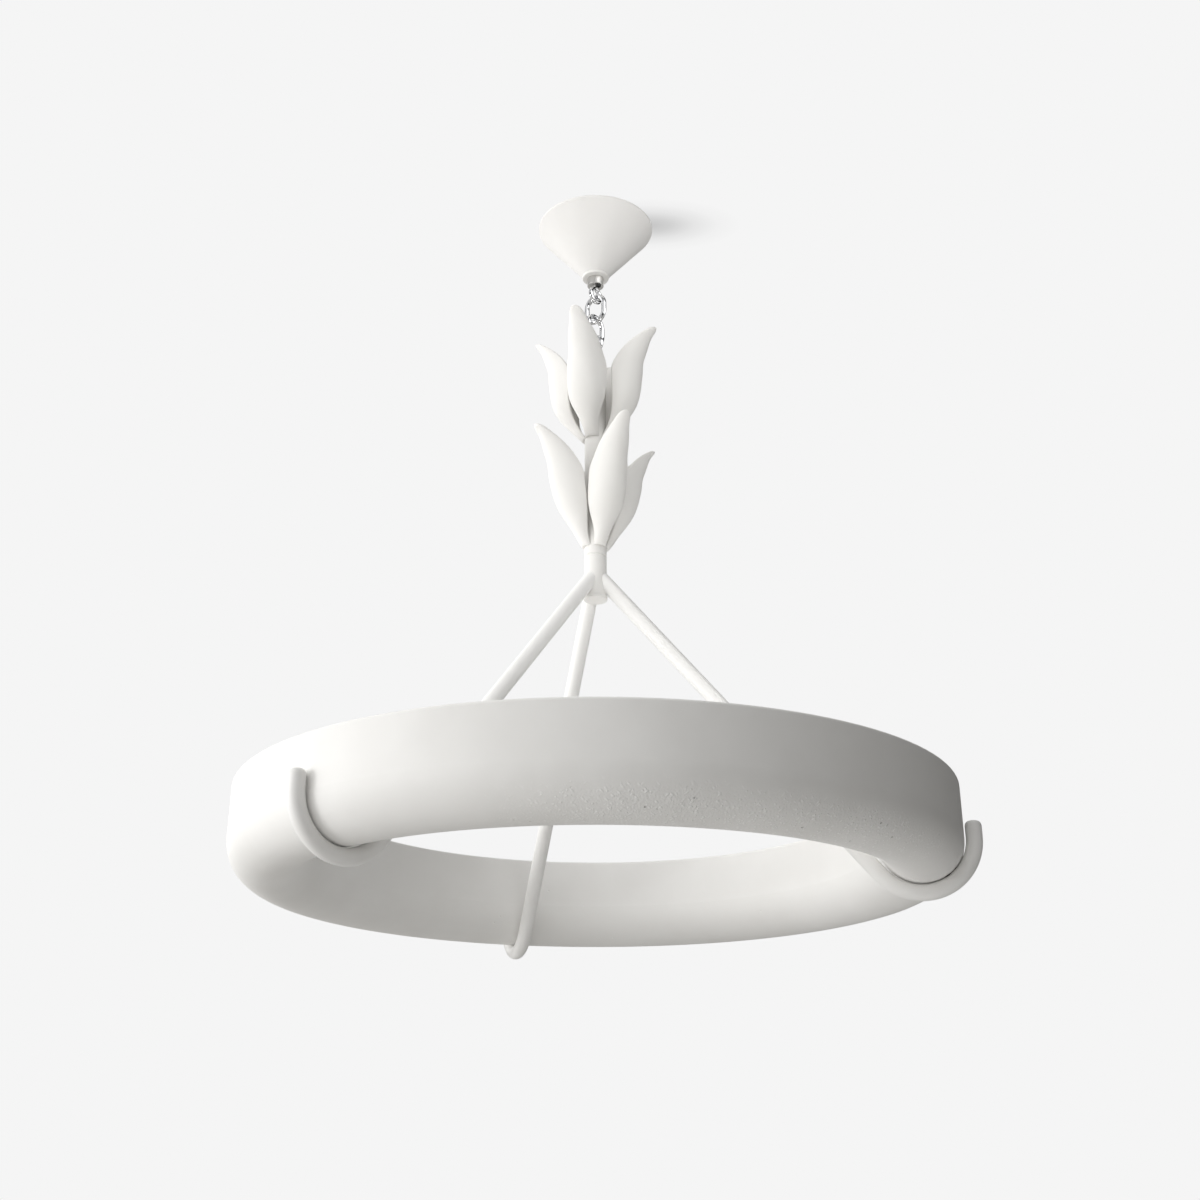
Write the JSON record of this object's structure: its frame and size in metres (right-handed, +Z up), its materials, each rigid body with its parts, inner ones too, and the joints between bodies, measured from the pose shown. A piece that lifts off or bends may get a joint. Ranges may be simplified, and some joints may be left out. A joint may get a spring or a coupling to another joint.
{
  "type": "plaster ring chandelier",
  "caption": "Plaster ring light on hooked arms below a leaf-clad stem, hung by chain links from a cone canopy.",
  "frame": {"origin": "middle of the ceiling plate's upper face, on the ceiling, on the chandelier's axis", "axes": "+Z up, towards the ceiling; -Y towards the viewer in the picture; +X to the viewer's right, along the line of the two screw holes"},
  "size_m": [0.8082, 0.8012, 0.9013],
  "materials": {
    "plaster": "matt off-white plaster, slightly uneven",
    "coated_steel": "matt off-white plaster coat over steel",
    "zinc_plated_steel": "zinc plated",
    "polished_chrome": "polished",
    "black_plastic": "matt",
    "white_plastic": "satin",
    "brass": "bare",
    "tray_aluminium": "rolled sheet",
    "strip_white": "solder mask",
    "led_yellow": "phosphor",
    "opal_acrylic": "opal, satin"
  },
  "bodies": {
    "canopy": {"ceiling_plate": "zinc_plated_steel", "centre_nipple": "zinc_plated_steel", "lock_nut": "zinc_plated_steel", "terminal_block": "white_plastic", "terminal_screws": "brass", "led_driver": "white_plastic", "canopy_cone": "plaster", "canopy_collar": "plaster", "canopy_nozzle": "plaster", "loop_nut": "polished_chrome", "canopy_loop": "polished_chrome", "canopy_gland": "black_plastic"},
    "upper_link": {"upper_link": "polished_chrome"},
    "lower_link": {"lower_link": "polished_chrome"},
    "pendant": {"ring_trough": "plaster", "upper_leaf_1": "plaster", "upper_leaf_2": "plaster", "upper_leaf_3": "plaster", "upper_leaf_4": "plaster", "lower_leaf_1": "plaster", "lower_leaf_2": "plaster", "lower_leaf_3": "plaster", "lower_leaf_4": "plaster", "stem_cap": "coated_steel", "stem": "coated_steel", "hub": "coated_steel", "hub_cap": "coated_steel", "arm_back": "coated_steel", "arm_left": "coated_steel", "arm_right": "coated_steel", "stem_rod": "zinc_plated_steel", "hub_washer": "zinc_plated_steel", "hub_nut": "zinc_plated_steel", "stem_loop": "polished_chrome", "stem_loop_nut": "polished_chrome", "stem_gland": "black_plastic", "floor_grommet": "black_plastic", "led_tray": "tray_aluminium", "led_strip": "strip_white", "led_chips": "led_yellow", "diffuser": "opal_acrylic"}
  },
  "joints": [
    {"name": "upper_link_swing", "type": "hinge", "parent": "canopy", "child": "upper_link", "pos_m": [0, 0, -0.1197], "axis": [0.6157, 0.788, 0], "range_deg": [-25, 25]},
    {"name": "lower_link_swing", "type": "hinge", "parent": "upper_link", "child": "lower_link", "pos_m": [0, 0, -0.1504], "axis": [-0.788, 0.6157, 0], "range_deg": [-25, 25]},
    {"name": "pendant_swing", "type": "hinge", "parent": "lower_link", "child": "pendant", "pos_m": [0, 0, -0.1771], "axis": [0.6157, 0.788, 0], "range_deg": [-25, 25]}
  ]
}
